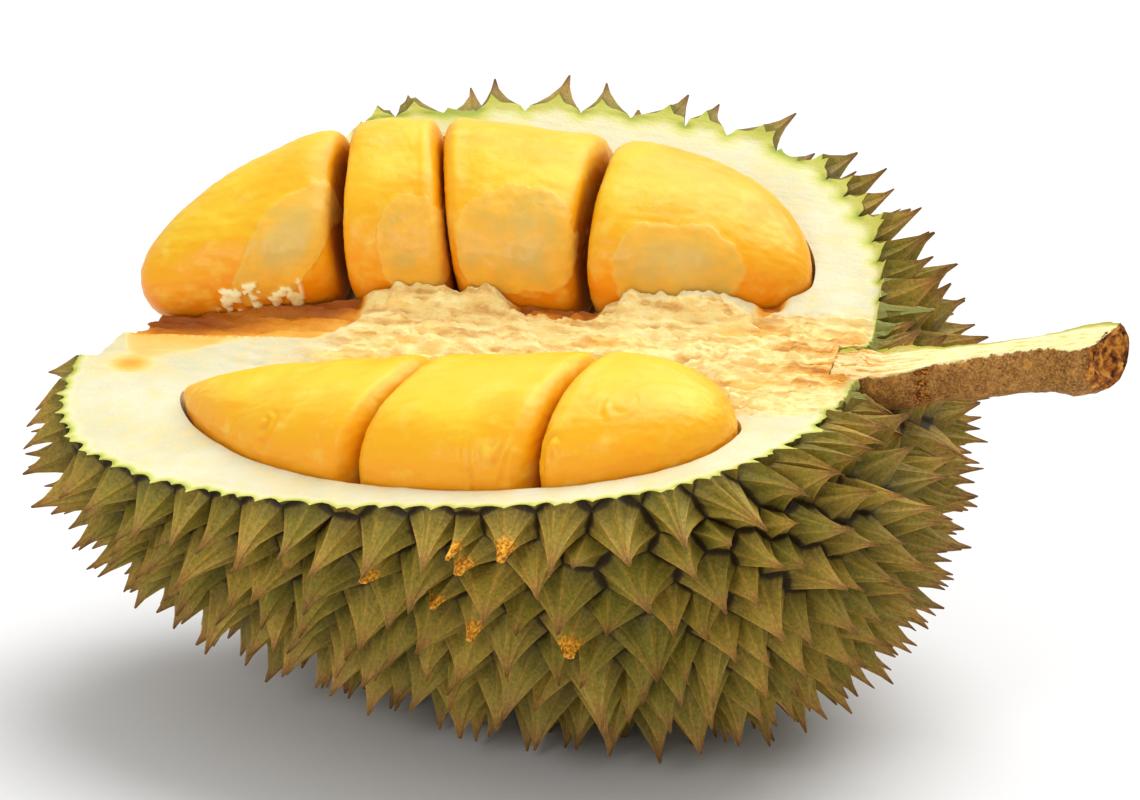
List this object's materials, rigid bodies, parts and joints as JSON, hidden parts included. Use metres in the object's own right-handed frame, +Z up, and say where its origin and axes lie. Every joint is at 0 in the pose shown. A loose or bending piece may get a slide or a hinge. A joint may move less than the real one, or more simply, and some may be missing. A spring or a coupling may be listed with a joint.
{
  "type": "opened durian",
  "caption": "Spiny oval fruit on a short woody stem, with part of its husk split away to show segments of soft pulp lying in two open chambers.",
  "frame": {"origin": "on the table, under the middle of the fruit's bounding box", "axes": "+X along the fruit towards the stem, -Y towards the front chamber, +Z up"},
  "size_m": [0.3036, 0.2292, 0.155],
  "materials": {
    "rind": "matt",
    "pith": "matt",
    "pulp": "satin",
    "bark": "matt"
  },
  "bodies": {
    "root": {"husk": "rind", "stem": "bark", "front_segment_1": "pulp", "front_segment_2": "pulp", "front_segment_3": "pulp", "back_segment_1": "pulp", "back_segment_2": "pulp", "back_segment_3": "pulp", "back_segment_4": "pulp"}
  },
  "joints": []
}
